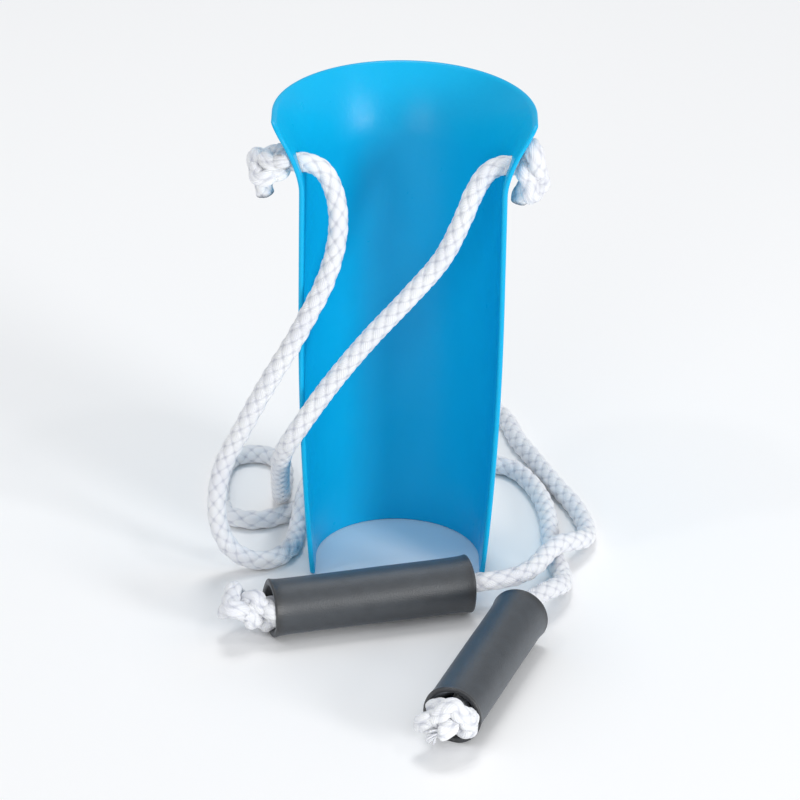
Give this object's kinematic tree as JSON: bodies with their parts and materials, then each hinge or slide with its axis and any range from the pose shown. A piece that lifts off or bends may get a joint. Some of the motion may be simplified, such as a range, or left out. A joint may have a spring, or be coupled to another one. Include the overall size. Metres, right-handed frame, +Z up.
{
  "type": "sock aid",
  "caption": "Molded sock aid standing on its toe end: a curved trough with a flared rim, knotted pull cords through its side walls and foam hand grips on the cord ends.",
  "frame": {"origin": "middle of the spine's wall on the trough's toe edge, which it stands on", "axes": "+Z up along the trough to its rim, +X to the right as seen from the open side, +Y towards the spine's side, so the open side and the grips face -Y"},
  "size_m": [0.1904, 0.3629, 0.24],
  "materials": {
    "trough": "semi-gloss molded polyethylene",
    "cord": "soft braided cord",
    "grip_foam": "matte closed-cell foam"
  },
  "bodies": {
    "trough": {"shell": "trough", "left_cord": "cord", "right_cord": "cord", "left_shell_knot": "cord", "right_shell_knot": "cord"},
    "left_end": {"left_cord_end": "cord", "left_end_knot": "cord"},
    "right_end": {"right_cord_end": "cord", "right_end_knot": "cord"},
    "left_handle": {"left_grip": "grip_foam"},
    "right_handle": {"right_grip": "grip_foam"}
  },
  "joints": [
    {"name": "left_cord_twist", "type": "hinge", "parent": "trough", "child": "left_end", "pos_m": [-0.0605, -0.11675, 0.014], "axis": [0.9613, 0.2756, 0], "range_deg": [-180, 180]},
    {"name": "left_grip_slide", "type": "slide", "parent": "left_end", "child": "left_handle", "axis": [0.9613, 0.2756, 0], "range_m": [0, 0.012]},
    {"name": "right_cord_twist", "type": "hinge", "parent": "trough", "child": "right_end", "pos_m": [0.026, -0.21225, 0.014], "axis": [0.3338, 0.9426, 0], "range_deg": [-180, 180]},
    {"name": "right_grip_slide", "type": "slide", "parent": "right_end", "child": "right_handle", "axis": [0.3338, 0.9426, 0], "range_m": [0, 0.012]}
  ]
}
